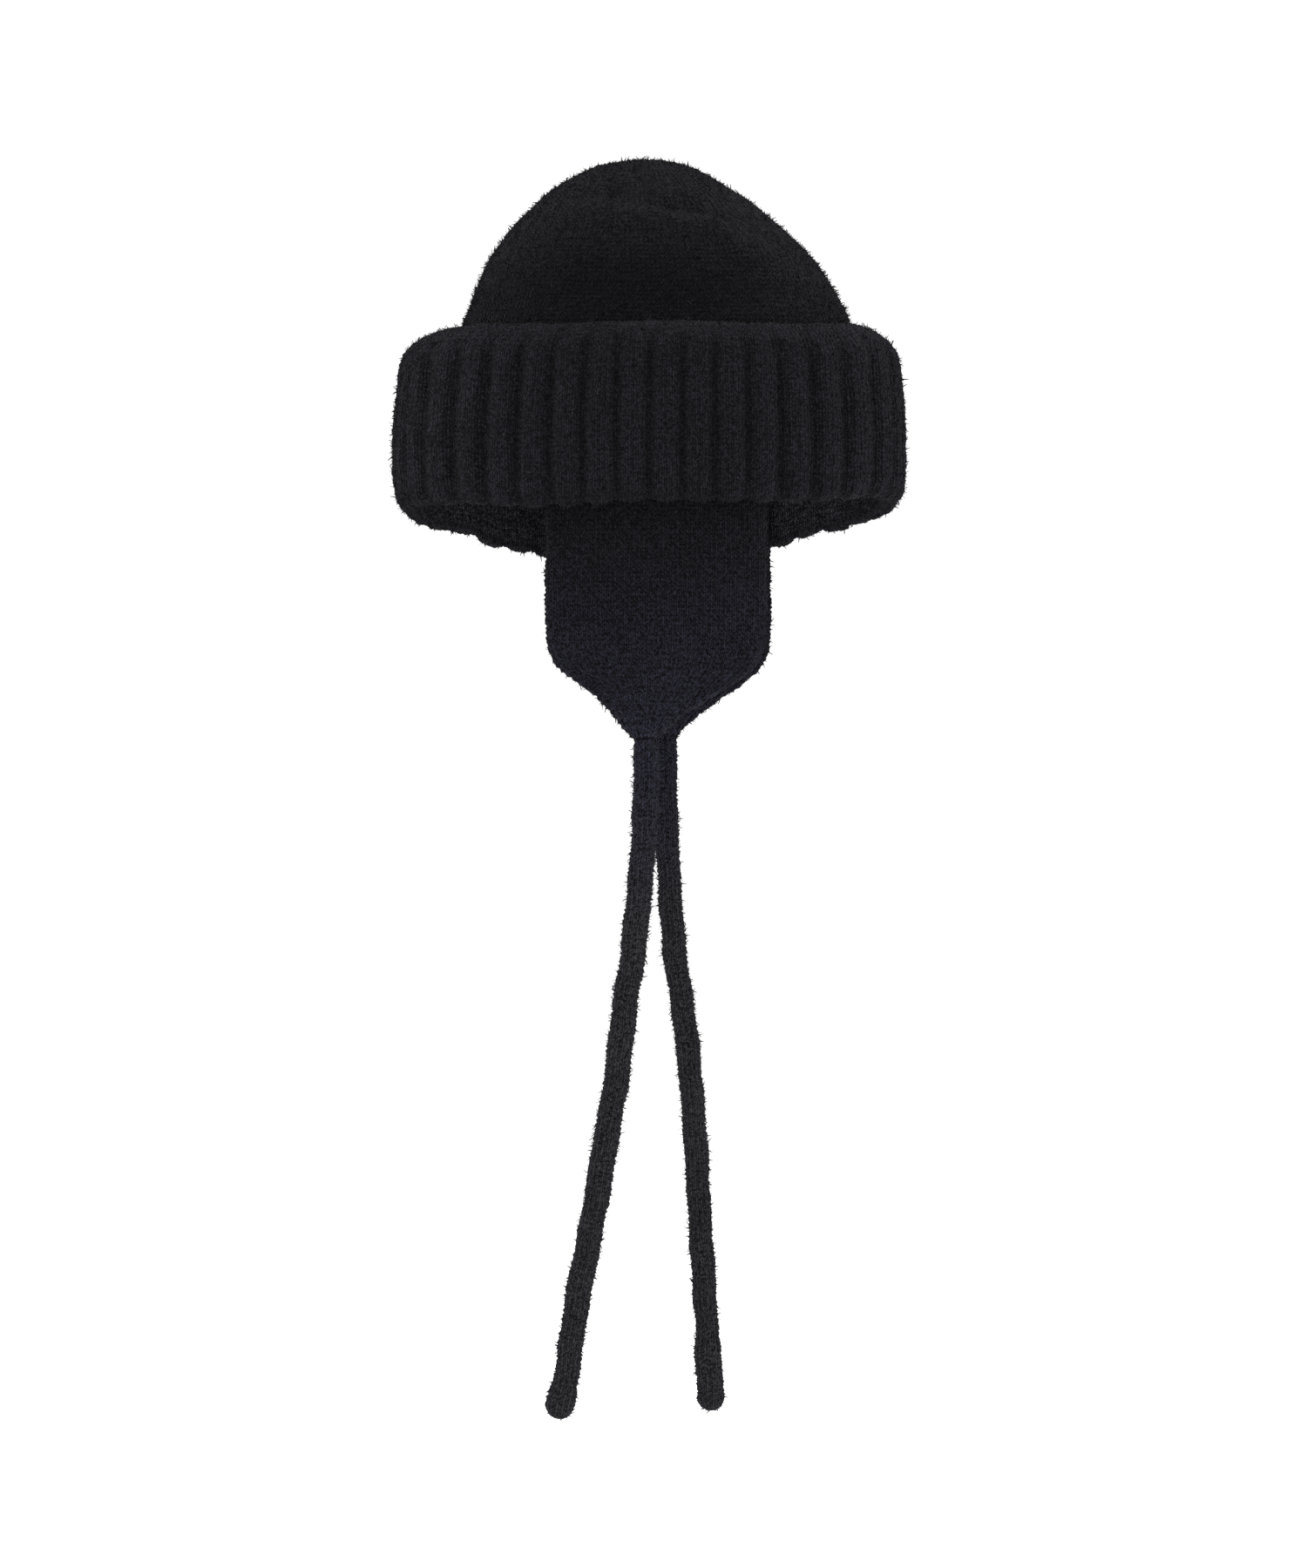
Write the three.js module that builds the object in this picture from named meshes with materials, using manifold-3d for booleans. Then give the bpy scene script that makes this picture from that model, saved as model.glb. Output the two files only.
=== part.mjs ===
// Knitted winter cap with a domed crown, a deep turned-up rib cuff, two ear flaps and two knitted ties.
// Millimetres, +Z up, +X to the forehead and +Y to the wearer's left. The origin is the inside of the
// crown's top, where the cap rests on a head.
import * as THREE from "three";
import { mergeVertices } from "three/addons/utils/BufferGeometryUtils.js";
import Module from "manifold-3d";

const wasm = await Module();
wasm.setup();

// Driving sizes of the crown
const crownLength = 191; // front to back at its lower edge, outside
const crownDepth = 154; // side to side at its lower edge, outside
const crownHeight = 95.5; // outer top to lower edge
const crownWall = 3.5;
const crownLean = 3.6; // how far its middle wanders along X from top to lower edge
const dentDepth = 4;
const foldFade = 0.125; // share of crownDepth over which a fold of one side fades in from the middle plane

// Driving sizes of the cuff, one rib fabric folded up on itself
const cuffStandEnd = 21.4; // how far it stands out from the crown's lower edge, front and back
const cuffStandSide = 12; // the same at the sides
const cuffCover = 16; // how far its top edge reaches above the crown's lower edge
const cuffHeight = 78; // top edge to rim at the forehead
const layerThickness = 5.5;
const slotWidth = 2; // air between the two layers of the fold
const curlGap = 0.9; // between the curled top edge and the crown
const earDip = 20; // how much lower the rim hangs at the left ear
const topSink = 4; // how much lower the top edge sits at the right ear
const ribCount = 44;
const ribDepth = 3;
const scallopHeight = 6; // how much the rim would rise between ribs, a share of it set by each row

// Driving sizes of the ear flaps
const flapWidth = 98;
const flapLength = 129.3; // hidden top edge to tip
const flapThickness = 3.5;
const flapTuck = 21; // how much of it is hidden inside the cuff, above the rim at the forehead
const flapLeanIn = 9; // how far its tip leans in towards the chin
const flapRoll = 1.2; // how much the rolled edge is thicker than the middle

// Driving sizes of the ties
const tieDiameter = 11;
const tieEndDiameter = 12.4;
const rightEndLength = 9;
const leftEndLength = 28;

const clearance = 0.3; // between neighbouring pieces

// Shape constants
const squareness = 2.7; // exponent of the oval sections: 2 is an ellipse, more is squarer
const pointsPerRib = 3;
const crownSides = 56;
const crownOuterRows = 17;
const crownInnerRows = 9;
const flapSides = 20;
const flapRows = 22;
const flapTipStart = 0.8; // share of flapLength from which it gathers towards the tie
const flapLeanStart = 0.2; // share from which it leans in
const flapRollSharpness = 8; // how closely the roll keeps to the edge
const flapFlatness = 0.45; // 1 is a round section, less is flatter with round edges
const flapTipBulge = tieDiameter / 3 - flapThickness / 2; // how much the tip rounds out to the tie
const tieSides = 12;
const tieStep = 2.4; // tie diameters for each step along it
const quarterSamples = 240;

const crownTop = crownWall;
const seamHeight = crownTop - crownHeight;
const topEdgeHeight = seamHeight + cuffCover;
const rimHeight = topEdgeHeight - cuffHeight;
const cuffHalfLength = crownLength / 2 + cuffStandEnd;
const cuffHalfDepth = crownDepth / 2 + cuffStandSide;
const foldStack = 2 * layerThickness + slotWidth;

// Sections of the crown from its top down: down is a share of crownHeight, length of half crownLength,
// depth of half crownDepth, and shift of crownLean
const crownSections = [
  { down: 0, length: 0, depth: 0, shift: -0.35 },
  { down: 0.004, length: 0.07, depth: 0.09, shift: -0.35 },
  { down: 0.021, length: 0.156, depth: 0.17, shift: -0.5 },
  { down: 0.042, length: 0.23, depth: 0.245, shift: -0.8 },
  { down: 0.105, length: 0.348, depth: 0.37, shift: -0.85 },
  { down: 0.147, length: 0.414, depth: 0.435, shift: -0.85 },
  { down: 0.209, length: 0.499, depth: 0.525, shift: -0.6 },
  { down: 0.272, length: 0.567, depth: 0.6, shift: -0.5 },
  { down: 0.335, length: 0.638, depth: 0.67, shift: -0.3 },
  { down: 0.398, length: 0.698, depth: 0.73, shift: -0.05 },
  { down: 0.482, length: 0.767, depth: 0.8, shift: 0.25 },
  { down: 0.565, length: 0.821, depth: 0.853, shift: 0.5 },
  { down: 0.649, length: 0.864, depth: 0.895, shift: 0.7 },
  { down: 0.733, length: 0.901, depth: 0.928, shift: 0.9 },
  { down: 0.796, length: 0.926, depth: 0.95, shift: 0.95 },
  { down: 0.885, length: 0.956, depth: 0.975, shift: 1 },
  { down: 1, length: 1, depth: 1, shift: 1 },
];

// Folds and dents of the crown: across is a share of half crownLength, down, wide and tall are shares of
// crownHeight, turn is in degrees, push is a share of dentDepth and is outwards where positive, side is -1
// for the wearer's right and 1 for the left
const crownFolds = [
  { side: -1, across: -0.04, down: 0.68, wide: 0.5, tall: 0.17, turn: 0, push: -1.0 },
  { side: -1, across: 0.05, down: 0.37, wide: 0.27, tall: 0.055, turn: -9, push: 0.65 },
  { side: -1, across: 0.41, down: 0.47, wide: 0.2, tall: 0.06, turn: -27, push: 0.6 },
  { side: -1, across: 0.17, down: 0.3, wide: 0.19, tall: 0.05, turn: -12, push: -0.5 },
  { side: -1, across: -0.15, down: 0.22, wide: 0.05, tall: 0.04, turn: 30, push: -0.6 },
  { side: 1, across: 0.1, down: 0.62, wide: 0.45, tall: 0.18, turn: 6, push: -0.7 },
  { side: 1, across: -0.2, down: 0.38, wide: 0.3, tall: 0.07, turn: 10, push: 0.4 },
];

// The cuff's edges round the head: turn is a share of a full turn from the forehead to the wearer's left,
// drop is how much lower the rim is, a share of earDip, and sink how much lower the top edge is, a share
// of topSink
const cuffEdges = [
  { turn: 0, drop: 0, sink: 0.15 },
  { turn: 0.07, drop: 0.2, sink: 0.15 },
  { turn: 0.114, drop: 0.4, sink: 0.2 },
  { turn: 0.15, drop: 0.7, sink: 0.3 },
  { turn: 0.2, drop: 0.95, sink: 0.3 },
  { turn: 0.25, drop: 1, sink: 0.3 },
  { turn: 0.32, drop: 0.97, sink: 0.3 },
  { turn: 0.365, drop: 0.78, sink: 0.3 },
  { turn: 0.4, drop: 0.42, sink: 0.3 },
  { turn: 0.5, drop: 0.15, sink: 0.25 },
  { turn: 0.6, drop: 0.22, sink: 0.9 },
  { turn: 0.67, drop: 0.36, sink: 1.4 },
  { turn: 0.75, drop: 0.25, sink: 1.1 },
  { turn: 0.85, drop: 0.25, sink: 1.3 },
  { turn: 0.93, drop: 0.02, sink: 0.5 },
];

// The outer layer from its curled top edge down the outside to the fold, and up its hidden side: up is a
// share of the way from rim to top edge, lean of the way from the cuff's fullest to the crown, face of
// layerThickness inwards, and rib of ribDepth
const outerLayer = [
  { up: 0.985, lean: 1.0, face: 0, rib: 0 },
  { up: 1.0, lean: 0.74, face: 0, rib: 0 },
  { up: 0.945, lean: 0.42, face: 0, rib: 0.2 },
  { up: 0.86, lean: 0.2, face: 0, rib: 0.7 },
  { up: 0.7, lean: 0.1, face: 0, rib: 1 },
  { up: 0.42, lean: 0.01, face: 0, rib: 1 },
  { up: 0.12, lean: 0.03, face: 0, rib: 1 },
  { up: 0.03, lean: 0.03, face: 0.4, rib: 0.8 },
];
const hiddenSide = [
  { up: 0.08, lean: 0, face: 1, rib: 0 },
  { up: 0.5, lean: 0.02, face: 1, rib: 0 },
  { up: 0.8, lean: 0.2, face: 1, rib: 0 },
  { up: 0.91, lean: 0.6, face: 0.5, rib: 0 },
  { up: 0.93, lean: 1.0, face: 0, rib: 0 },
];

// The inner layer: up is a share of the way from rim to seam, crown is 0 where it lies against the outer
// layer and 1 where it meets the crown, stack is a share of foldStack inwards, and wall a share of
// crownWall inwards
const innerLayer = [
  { up: 0.0, crown: 0, stack: 0.52, wall: 0, rib: 0.3 },
  { up: 0.06, crown: 0, stack: 1, wall: 1, rib: -0.5 },
  { up: 0.5, crown: 0.04, stack: 1, wall: 1, rib: -0.5 },
  { up: 0.74, crown: 0.75, stack: 1, wall: 1, rib: -0.3 },
  { up: 1.0, crown: 1, stack: 1, wall: 1, rib: 0 },
  { up: 1.0, crown: 1, stack: 1, wall: 0, rib: 0 },
  { up: 0.74, crown: 0.7, stack: 0.6, wall: 0, rib: 0 },
  { up: 0.5, crown: 0.04, stack: 0.58, wall: 0, rib: 0 },
  { up: 0.095, crown: 0, stack: 0.56, wall: 0, rib: 0 },
];

// Outline of a flap from its hidden top edge to its tip: down is a share of flapLength, half of half
// flapWidth
const flapOutline = [
  { down: 0, half: 0.97 },
  { down: 0.15, half: 0.985 },
  { down: 0.3, half: 0.995 },
  { down: 0.45, half: 1 },
  { down: 0.58, half: 0.998 },
  { down: 0.68, half: 0.982 },
  { down: 0.711, half: 0.958 },
  { down: 0.741, half: 0.918 },
  { down: 0.77, half: 0.855 },
  { down: 0.8, half: 0.755 },
  { down: 0.83, half: 0.648 },
  { down: 0.858, half: 0.533 },
  { down: 0.889, half: 0.437 },
  { down: 0.92, half: 0.33 },
  { down: 0.949, half: 0.25 },
  { down: 0.979, half: 0.168 },
  { down: 1, half: 0.115 },
];

// Side is -1 for the wearer's right and 1 for the left, centre is the flap's middle along X, tipLean how
// far its tip leans along X from there, and drop how much lower it hangs than the right one
const flaps = {
  right: { side: -1, centre: 3.2, tipLean: -4.7, drop: 0 },
  left: { side: 1, centre: 9, tipLean: -1.2, drop: -3 },
};

// Routes of the two ties, from the flap's tip to the free end
const tieRouteRight = [
  [-1.5, -65.0, -262.6],
  [-1.8, -63.9, -282.5],
  [-2.3, -62.9, -300.0],
  [-3.4, -61.9, -319.0],
  [-5.3, -60.6, -340.0],
  [-7.6, -59.5, -359.5],
  [-10.7, -58.4, -379.0],
  [-12.7, -57.3, -398.0],
  [-15.0, -56.2, -417.5],
  [-18.4, -55.1, -437.0],
  [-21.4, -54.0, -456.5],
  [-25.0, -53.0, -476.0],
  [-29.0, -51.9, -495.5],
  [-32.6, -50.8, -515.0],
  [-34.6, -49.9, -530.5],
  [-36.8, -49.0, -546.0],
  [-39.2, -48.2, -559.0],
];
const tieRouteLeft = [
  [7.8, 65.0, -259.6],
  [8.2, 63.9, -282.5],
  [8.9, 62.9, -300.0],
  [9.7, 61.9, -320.0],
  [10.7, 60.5, -345.0],
  [12.3, 59.4, -365.5],
  [15.3, 58.3, -386.0],
  [18.0, 57.2, -407.0],
  [20.1, 56.1, -427.5],
  [21.9, 54.9, -448.0],
  [23.2, 53.8, -468.5],
  [24.0, 52.7, -489.0],
  [25.2, 51.6, -509.5],
  [26.4, 50.5, -530.0],
  [27.4, 49.6, -546.5],
  [28.4, 48.7, -562.5],
  [29.2, 48.1, -572.5],
];

const wool = { color: 0x1c1c20, roughness: 0.95, metalness: 0 };

// A smooth step from 0 to 1
function ease(t) {
  const x = Math.min(Math.max(t, 0), 1);
  return x * x * (3 - 2 * x);
}

function mix(a, b, t) {
  return a + (b - a) * t;
}

// One column of a table at a place between its rows, by a smooth curve through them
function columnAt(table, column, place) {
  const last = table.length - 1;
  const i = Math.min(Math.max(Math.floor(place), 0), last - 1);
  const t = place - i;
  const value = (k) => table[Math.min(Math.max(k, 0), last)][column];
  const [a, b, c, d] = [value(i - 1), value(i), value(i + 1), value(i + 2)];
  return b + 0.5 * t * (c - a + t * (2 * a - 5 * b + 4 * c - d + t * (3 * (b - c) + d - a)));
}

// The place in a table where a rising column takes a value
function placeOf(table, column, value) {
  const last = table.length - 1;
  let i = 0;
  while (i < last - 1 && table[i + 1][column] < value) {
    i += 1;
  }
  const [low, high] = [table[i][column], table[i + 1][column]];
  return i + Math.min(Math.max((value - low) / (high - low), 0), 1);
}

// A quarter of the cuff's oval, with how far round each point is as ribs of one pitch count it, seen square
// on to a side or an end
function measuredQuarter() {
  const points = [];
  let along = 0;
  for (let i = 0; i <= quarterSamples; i += 1) {
    const angle = (i / quarterSamples) * (Math.PI / 2);
    const x = Math.max(Math.cos(angle), 0) ** (2 / squareness);
    const y = Math.max(Math.sin(angle), 0) ** (2 / squareness);
    if (i > 0) {
      const before = points[i - 1];
      along += Math.max((before.x - x) * cuffHalfLength, (y - before.y) * cuffHalfDepth);
    }
    points.push({ x, y, along });
  }
  return points;
}

const quarter = measuredQuarter();
const quarterLength = quarter[quarterSamples].along;

// The point of the unit oval at a share of a full turn
function ovalAt(turn) {
  const wrapped = turn - Math.floor(turn);
  const sector = Math.min(Math.floor(wrapped * 4), 3);
  const within = wrapped * 4 - sector;
  const mirrored = sector % 2 === 1;
  const place = placeOf(quarter, "along", (mirrored ? 1 - within : within) * quarterLength);
  const i = Math.min(Math.floor(place), quarterSamples - 1);
  const x = mix(quarter[i].x, quarter[i + 1].x, place - i);
  const y = mix(quarter[i].y, quarter[i + 1].y, place - i);
  return { x: sector === 1 || sector === 2 ? -x : x, y: sector >= 2 ? -y : y };
}

// The outward direction at a point of an oval with these half axes
function outwardAt(oval, halfLength, halfDepth) {
  const power = squareness - 1;
  const x = (Math.sign(oval.x) * Math.abs(oval.x) ** power) / halfLength;
  const y = (Math.sign(oval.y) * Math.abs(oval.y) ** power) / halfDepth;
  const size = Math.hypot(x, y) || 1;
  return { x: x / size, y: y / size };
}

// The crown's section at a place in its table
function crownSection(place) {
  return {
    height: crownTop - columnAt(crownSections, "down", place) * crownHeight,
    halfLength: (columnAt(crownSections, "length", place) * crownLength) / 2,
    halfDepth: (columnAt(crownSections, "depth", place) * crownDepth) / 2,
    shift: columnAt(crownSections, "shift", place) * crownLean,
  };
}

// A point of the crown's plain outer surface, at a height
function crownSurface(oval, height) {
  const place = placeOf(crownSections, "down", (crownTop - height) / crownHeight);
  const { halfLength, halfDepth, shift } = crownSection(place);
  return { x: shift + oval.x * halfLength, y: oval.y * halfDepth };
}

// How far folds and dents push the crown's surface out at a point
function foldPush(x, y, height) {
  let push = 0;
  for (const fold of crownFolds) {
    const away = x - fold.across * (crownLength / 2);
    const below = crownTop - height - fold.down * crownHeight;
    const angle = THREE.MathUtils.degToRad(fold.turn);
    const along = away * Math.cos(angle) - below * Math.sin(angle);
    const over = away * Math.sin(angle) + below * Math.cos(angle);
    const spread = Math.hypot(along / (fold.wide * crownHeight), over / (fold.tall * crownHeight));
    const onSide = ease((fold.side * y) / (foldFade * crownDepth));
    push += fold.push * dentDepth * onSide * Math.exp(-spread * spread);
  }
  return push;
}

// A point of the crown: place runs down the table of sections, inset is how far inside the outer surface
function crownPoint(turn, place, inset) {
  const oval = ovalAt(turn);
  const { height, halfLength, halfDepth, shift } = crownSection(place);
  const above = crownSection(Math.max(place - 0.5, 0));
  const below = crownSection(Math.min(place + 0.5, crownSections.length - 1));
  const spread = below.halfLength - above.halfLength;
  const fall = above.height - below.height;
  const up = spread / Math.hypot(spread, fall);
  const sideways = (fall / Math.hypot(spread, fall)) * Math.min(1, halfLength / (2 * crownWall));
  const outward = outwardAt(oval, crownLength, crownDepth);
  const push = foldPush(oval.x * halfLength, oval.y * halfDepth, height) - inset;
  return new THREE.Vector3(
    shift + oval.x * halfLength + outward.x * sideways * push,
    oval.y * halfDepth + outward.y * sideways * push,
    height + up * push,
  );
}

// The heights of the cuff's rim and top edge at a share of a full turn
function cuffEdgesAt(turn) {
  const wrapped = turn - Math.floor(turn);
  const next = cuffEdges.findIndex((row) => row.turn > wrapped);
  const after = next < 0 ? { ...cuffEdges[0], turn: 1 } : cuffEdges[next];
  const before = cuffEdges[(next < 0 ? cuffEdges.length : next) - 1];
  const t = ease((wrapped - before.turn) / (after.turn - before.turn));
  return {
    rim: rimHeight - mix(before.drop, after.drop, t) * earDip,
    top: topEdgeHeight - mix(before.sink, after.sink, t) * topSink,
  };
}

// The groove between two ribs at a step round the cuff: 1 in it and 0 on a rib
function grooveAt(index) {
  return index % pointsPerRib === 0 ? 1 : 0;
}

function outerLayerPoint(row, index) {
  const turn = index / (ribCount * pointsPerRib);
  const oval = ovalAt(turn);
  const outward = outwardAt(oval, cuffHalfLength, cuffHalfDepth);
  const edges = cuffEdgesAt(turn);
  const height = mix(edges.rim, edges.top, row.up);
  const crown = crownSurface(oval, height);
  const inset = row.face * layerThickness + grooveAt(index) * row.rib * ribDepth;
  const x = mix(oval.x * cuffHalfLength, crown.x + outward.x * curlGap, row.lean);
  const y = mix(oval.y * cuffHalfDepth, crown.y + outward.y * curlGap, row.lean);
  return new THREE.Vector3(x - outward.x * inset, y - outward.y * inset, height);
}

function innerLayerPoint(row, index) {
  const turn = index / (ribCount * pointsPerRib);
  const oval = ovalAt(turn);
  const outward = outwardAt(oval, cuffHalfLength, cuffHalfDepth);
  const scallop = grooveAt(index) * Math.max(row.rib, 0) * scallopHeight;
  const height = mix(cuffEdgesAt(turn).rim, seamHeight - clearance, row.up) + scallop;
  const crown = crownSurface(oval, seamHeight);
  const stack = row.stack * foldStack + grooveAt(index) * row.rib * ribDepth;
  const wall = row.wall * crownWall;
  const x = mix(oval.x * cuffHalfLength - outward.x * stack, crown.x - outward.x * wall, row.crown);
  const y = mix(oval.y * cuffHalfDepth - outward.y * stack, crown.y - outward.y * wall, row.crown);
  return new THREE.Vector3(x, y, height);
}

// A turned shape whose every point is then placed by a function of its step round and its row. A closed
// one is a ring, and another starts and ends on the axis.
function turnedShape(sides, rows, closed, place) {
  const count = closed ? rows + 1 : rows;
  const profile = Array.from({ length: count }, (_, j) => new THREE.Vector2(1, j));
  const geometry = new THREE.LatheGeometry(profile, sides);
  const position = geometry.getAttribute("position");
  for (let i = 0; i <= sides; i += 1) {
    for (let j = 0; j < count; j += 1) {
      position.setXYZ(i * count + j, ...place(i % sides, j % rows).toArray());
    }
  }
  return closedGeometry(geometry);
}

// The same geometry with shared points merged and flat triangles left out
function closedGeometry(geometry) {
  geometry.deleteAttribute("normal");
  geometry.deleteAttribute("uv");
  const merged = mergeVertices(geometry, 1e-3);
  const corners = merged.index.array;
  const kept = [];
  for (let i = 0; i < corners.length; i += 3) {
    const [a, b, c] = [corners[i], corners[i + 1], corners[i + 2]];
    if (a !== b && b !== c && c !== a) {
      kept.push(a, b, c);
    }
  }
  merged.setIndex(kept);
  return merged;
}

function makeCrown() {
  const lastPlace = crownSections.length - 1;
  const rows = crownOuterRows + crownInnerRows;
  return turnedShape(crownSides, rows, false, (i, j) => {
    const outside = j >= crownInnerRows;
    const share = outside ? (rows - 1 - j) / (crownOuterRows - 1) : j / (crownInnerRows - 1);
    const point = crownPoint(i / crownSides, share * lastPlace, outside ? 0 : crownWall);
    return share === 1 ? point.setZ(seamHeight) : point;
  });
}

function makeCuff() {
  const rows = [
    ...outerLayer.map((row) => ({ row, point: outerLayerPoint })),
    ...innerLayer.map((row) => ({ row, point: innerLayerPoint })),
    ...hiddenSide.map((row) => ({ row, point: outerLayerPoint })),
  ].reverse();
  return turnedShape(ribCount * pointsPerRib, rows.length, true, (i, j) => rows[j].point(rows[j].row, i));
}

// How far from the middle plane a flap lies inside the cuff, at a distance along X and a height
function flapSeat(x, height, rim) {
  const face = innerLayer.filter((row) => row.stack === 1 && row.wall === 1);
  const up = Math.max((height - rim) / (seamHeight - rim), face[0].up);
  const place = placeOf(face, "up", up);
  const i = Math.floor(Math.min(place, face.length - 2));
  const crown = mix(face[i].crown, face[i + 1].crown, place - i);
  const inside = clearance + flapThickness / 2;
  const halfLength = mix(cuffHalfLength - foldStack, crownLength / 2 - crownWall, crown) - inside;
  const halfDepth = mix(cuffHalfDepth - foldStack, crownDepth / 2 - crownWall, crown) - inside;
  const share = Math.min(Math.abs(x) / halfLength, 1);
  return halfDepth * (1 - share ** squareness) ** (1 / squareness);
}

function makeFlap(flap) {
  const geometry = new THREE.CylinderGeometry(1, 1, 1, flapSides, flapRows);
  const position = geometry.getAttribute("position");
  const lastPlace = flapOutline.length - 1;
  const top = rimHeight + flapTuck - flap.drop;
  const rim = cuffEdgesAt(flap.side / 4).rim;
  for (let i = 0; i < position.count; i += 1) {
    const [across, along, through] = [position.getX(i), position.getY(i), position.getZ(i)];
    const place = (0.5 - along) * lastPlace;
    const down = columnAt(flapOutline, "down", place);
    const tip = ease((down - flapTipStart) / (1 - flapTipStart));
    const half = (columnAt(flapOutline, "half", place) * flapWidth) / 2;
    const x = flap.centre + tip * flap.tipLean + across * half;
    const rolled = Math.abs(across) ** flapRollSharpness * flapRoll + tip * flapTipBulge;
    const halfThickness = flapThickness / 2 + rolled * Math.hypot(across, through);
    const lean = flapLeanIn * ease((down - flapLeanStart) / (1 - flapLeanStart));
    const thick = Math.sign(through) * Math.abs(through) ** flapFlatness * halfThickness;
    const height = top - down * flapLength;
    position.setXYZ(i, x, flap.side * (flapSeat(x, height, rim) - lean - rolled) - thick, height);
  }
  return closedGeometry(geometry);
}

// A geometry as a solid that can be joined
function solidOf(geometry) {
  const closed = geometry.index && !geometry.getAttribute("uv") ? geometry : closedGeometry(geometry);
  return new wasm.Manifold(
    new wasm.Mesh({
      numProp: 3,
      vertProperties: new Float32Array(closed.getAttribute("position").array),
      triVerts: new Uint32Array(closed.index.array),
    }),
  );
}

function geometryOf(solid) {
  const mesh = solid.getMesh();
  return new THREE.BufferGeometry()
    .setAttribute("position", new THREE.BufferAttribute(mesh.vertProperties, 3))
    .setIndex(new THREE.BufferAttribute(mesh.triVerts, 1));
}

function tubeAlong(curve, diameter) {
  const section = new THREE.Shape();
  for (let i = 0; i < tieSides; i += 1) {
    const angle = (i / tieSides) * 2 * Math.PI;
    const [x, y] = [(Math.cos(angle) * diameter) / 2, (Math.sin(angle) * diameter) / 2];
    if (i === 0) {
      section.moveTo(x, y);
    } else {
      section.lineTo(x, y);
    }
  }
  const steps = Math.max(2, Math.round(curve.getLength() / (tieStep * tieDiameter)));
  return new THREE.ExtrudeGeometry(section, { steps, extrudePath: curve });
}

// A knitted cord with a thicker stretch and a round knot-like end
function makeTie(route, endLength) {
  const curve = new THREE.CatmullRomCurve3(route.map((point) => new THREE.Vector3(...point)));
  const length = curve.getLength();
  const from = 1 - endLength / length;
  const endCurve = new THREE.LineCurve3(curve.getPointAt(from), curve.getPointAt(1));
  const end = new THREE.SphereGeometry(tieEndDiameter / 2, tieSides, tieSides / 2);
  end.translate(...route[route.length - 1]);
  const tube = solidOf(tubeAlong(curve, tieDiameter));
  const thick = solidOf(tubeAlong(endCurve, tieEndDiameter));
  return geometryOf(tube.add(thick).add(solidOf(end)));
}

function pieceMesh(name, geometry, shade) {
  const material = new THREE.MeshStandardMaterial({ ...wool, ...shade });
  const mesh = new THREE.Mesh(geometry, material);
  mesh.name = name;
  return mesh;
}

const cap = new THREE.Group();
cap.name = "earflap_knit_cap";
cap.add(pieceMesh("crown", makeCrown(), { color: 0x19191c }));
cap.add(pieceMesh("cuff", makeCuff(), { color: 0x1c1c20 }));
cap.add(pieceMesh("ear_flap_right", makeFlap(flaps.right), { color: 0x1e1e23 }));
cap.add(pieceMesh("ear_flap_left", makeFlap(flaps.left), { color: 0x1e1e23 }));
cap.add(pieceMesh("tie_right", makeTie(tieRouteRight, rightEndLength), { color: 0x222227 }));
cap.add(pieceMesh("tie_left", makeTie(tieRouteLeft, leftEndLength), { color: 0x222227 }));

export default cap;
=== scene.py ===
# %% [markdown]
# # A knitted cap with ear flaps and ties
#
# The real cap is knitted from brushed black wool: a domed crown in plain knit, a deep cuff in rib knit turned up
# on itself, two ear flaps in plain knit, and a knitted cord hanging from the tip of each flap. It is shown as it
# hangs when a head carries it. Everything is in metres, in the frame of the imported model: +X is the forehead,
# +Y the wearer's left, +Z up, and the origin is the inside of the crown's top.
#
# Knitwear is soft, so each piece is made as one sheet of fabric: a flat grid with one face for each half stitch,
# laid on its form point by point and sewn up where its edges meet. That keeps the stitches in rows, which the
# wool's material needs, and the same grid carries the folds, ribs and rolled edges as real shape.

import math

import bpy
import numpy as np
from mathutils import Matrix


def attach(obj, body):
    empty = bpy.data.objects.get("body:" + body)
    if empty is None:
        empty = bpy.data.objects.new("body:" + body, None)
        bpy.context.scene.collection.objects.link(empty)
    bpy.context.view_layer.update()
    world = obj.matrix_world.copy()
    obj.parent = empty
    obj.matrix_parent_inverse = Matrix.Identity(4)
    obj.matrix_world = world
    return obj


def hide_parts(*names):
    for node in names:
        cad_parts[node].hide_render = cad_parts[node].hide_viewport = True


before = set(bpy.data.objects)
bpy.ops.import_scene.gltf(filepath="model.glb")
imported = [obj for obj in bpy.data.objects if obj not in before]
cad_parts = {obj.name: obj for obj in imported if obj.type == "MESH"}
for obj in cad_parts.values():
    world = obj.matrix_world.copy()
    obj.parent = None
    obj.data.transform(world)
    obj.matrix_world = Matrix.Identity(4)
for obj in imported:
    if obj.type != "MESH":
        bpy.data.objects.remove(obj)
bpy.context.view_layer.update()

# %% [markdown]
# ## The camera
#
# The picture looks straight at the wearer's right side from a little below the cuff. A camera 1.6 m away and level
# gives the same outline: at that distance one of the picture's pixels is 0.4 mm at the cap's middle plane. An
# 80 mm lens on the standard 36 mm sensor gives that scale for a picture 1800 pixels tall.

# %% Camera
eye = (0.002, -1.6, -0.2825)
bpy.ops.object.camera_add(location=eye, rotation=(math.radians(90), 0, 0))
camera = bpy.context.object
camera.data.lens = 80
bpy.context.scene.camera = camera
print("Picture height at the middle plane:", round(36 / camera.data.lens * -eye[1], 3), "m")

# %% [markdown]
# ## The routes of the two ties
#
# The ties come first because their length is a fact of the object: about 0.3 m of limp knitted cord each, hanging
# from the tip of a flap to a free end. The points follow the solid model's to within a millimetre. Seen from the
# side, the two hang together at the top and drift apart below.

# %% Tie routes
tie_diameter = 0.011
tie_end_diameter = 0.0124

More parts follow.
